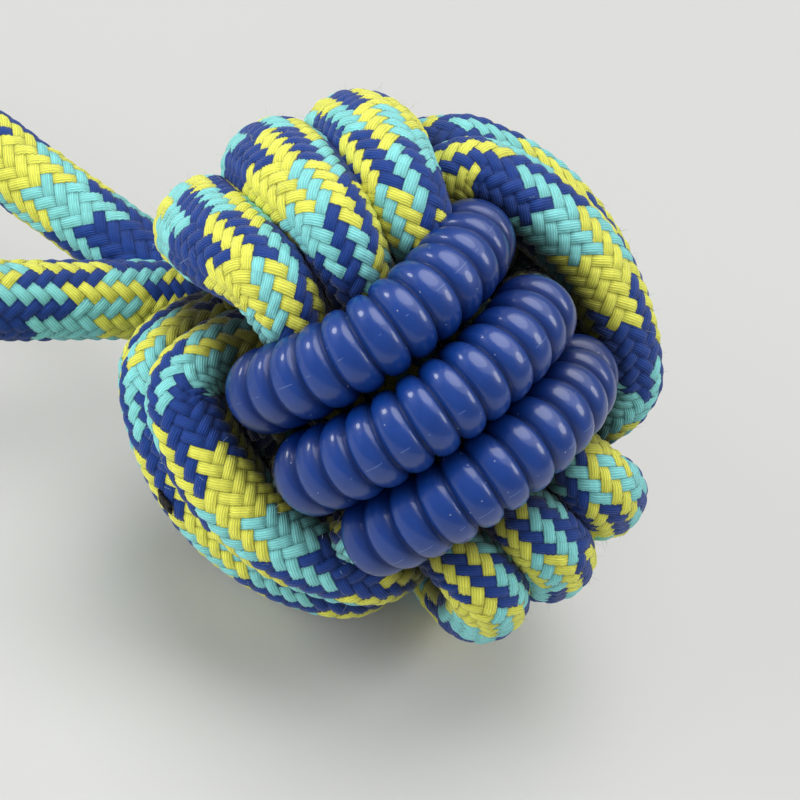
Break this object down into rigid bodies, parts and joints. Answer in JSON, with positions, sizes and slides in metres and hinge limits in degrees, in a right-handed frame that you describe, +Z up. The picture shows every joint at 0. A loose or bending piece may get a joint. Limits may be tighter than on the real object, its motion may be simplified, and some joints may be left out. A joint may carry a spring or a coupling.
{
  "type": "rope dog toy",
  "caption": "Braided rope tied as a monkey's fist ball round a core, ribbed soft sleeves on its front runs and a loop handle.",
  "frame": {"origin": "bottom centre of the bounding box", "axes": "+X from the handle towards the knot, +Z up from the floor the toy rests on, -Y the side the sleeves face"},
  "size_m": [0.2042, 0.0926, 0.0652],
  "materials": {
    "rope": "braided lime, turquoise and navy yarn",
    "sleeve_plastic": "smooth, glossy",
    "core_rubber": "matt"
  },
  "bodies": {
    "knot_ball": {"core_ball": "core_rubber", "knot_rope": "rope", "sleeve_upper": "sleeve_plastic", "sleeve_middle": "sleeve_plastic", "sleeve_lower": "sleeve_plastic"},
    "handle": {"handle_loop": "rope"}
  },
  "joints": [
    {"name": "handle_lift", "type": "hinge", "parent": "knot_ball", "child": "handle", "pos_m": [0.02244, 0.00956, 0.01883], "axis": [0, 1, 0], "range_deg": [0, 90]}
  ]
}
